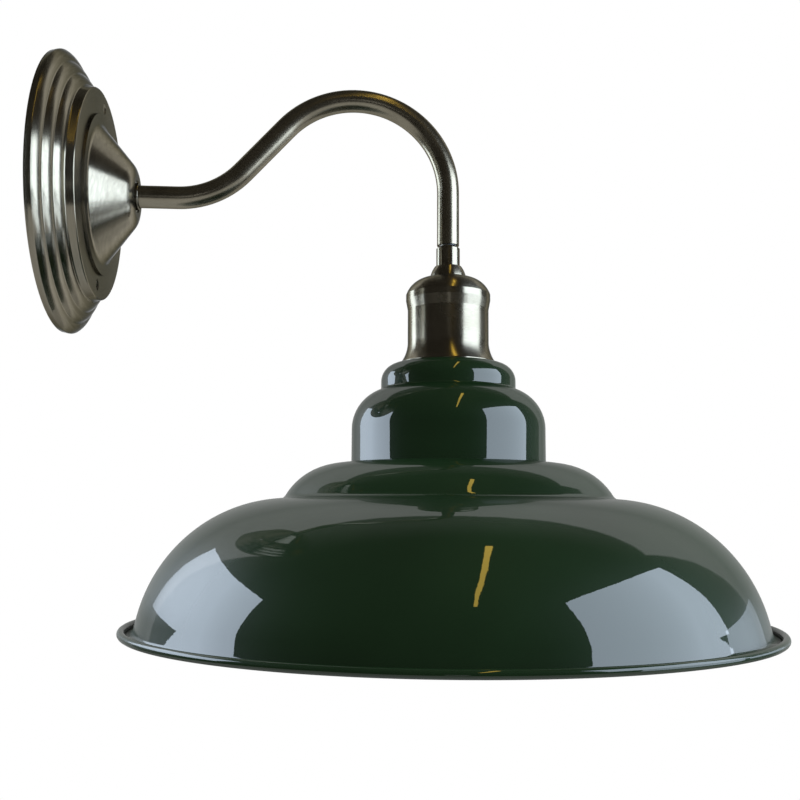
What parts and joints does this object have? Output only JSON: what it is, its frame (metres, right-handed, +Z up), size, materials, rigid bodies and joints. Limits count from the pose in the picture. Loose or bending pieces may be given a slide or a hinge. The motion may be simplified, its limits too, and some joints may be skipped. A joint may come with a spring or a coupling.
{
  "type": "wall light",
  "caption": "Gooseneck wall light: beaded wall rose, bent tube arm, metal-covered screw lampholder and a wide stepped shade hung mouth down.",
  "frame": {"origin": "centre of the wall rose in the wall plane", "axes": "+X out from the wall along the arm, +Z up, +Y to the right seen from the room facing the wall"},
  "size_m": [0.402, 0.36, 0.3266],
  "materials": {
    "satin_nickel": "satin, spun",
    "zinc_steel": "zinc plated",
    "green_enamel": "gloss enamel",
    "porcelain": "glazed, opaque",
    "brass": "plain",
    "block_plastic": "matt",
    "brown_insulation": "smooth",
    "blue_insulation": "smooth",
    "earth_insulation": "smooth, green with a yellow stripe"
  },
  "bodies": {
    "fixture": {"wall_rose": "satin_nickel", "root_ferrule": "satin_nickel", "root_washer": "zinc_steel", "lock_washer": "zinc_steel", "root_nut": "zinc_steel", "root_nipple": "zinc_steel", "arm_tube": "satin_nickel", "end_collar": "satin_nickel", "holder_nipple": "zinc_steel", "bell_cap": "satin_nickel", "holder_dome": "satin_nickel", "holder_nut": "zinc_steel", "holder_bridge": "zinc_steel", "core_screws": "zinc_steel", "holder_core": "porcelain", "lead_terminals": "brass", "lead_screws": "zinc_steel", "screw_shell": "brass", "contact_foot": "brass", "terminal_block": "block_plastic", "block_inserts": "brass", "block_screws": "zinc_steel", "live_lead": "brown_insulation", "neutral_lead": "blue_insulation", "earth_lead": "earth_insulation"},
    "sleeve": {"holder_sleeve": "satin_nickel"},
    "shade": {"shade": "green_enamel"},
    "shade_ring": {"shade_ring": "satin_nickel"},
    "contact": {"centre_contact": "brass"}
  },
  "joints": [
    {"name": "sleeve_drop", "type": "slide", "parent": "fixture", "child": "sleeve", "axis": [0, 0, -1], "range_m": [0, 0.056]},
    {"name": "shade_drop", "type": "slide", "parent": "sleeve", "child": "shade", "axis": [0, 0, -1], "range_m": [0, 0.06]},
    {"name": "ring_turn", "type": "hinge", "parent": "shade", "child": "shade_ring", "pos_m": [0.222, 0, -0.1], "axis": [0, 0, 1], "range_deg": [0, 720]},
    {"name": "contact_press", "type": "hinge", "parent": "fixture", "child": "contact", "pos_m": [0.2265, 0, -0.0843], "axis": [0, 1, 0], "range_deg": [0, 18], "stiffness_Nm_per_rad": 0.15}
  ]
}
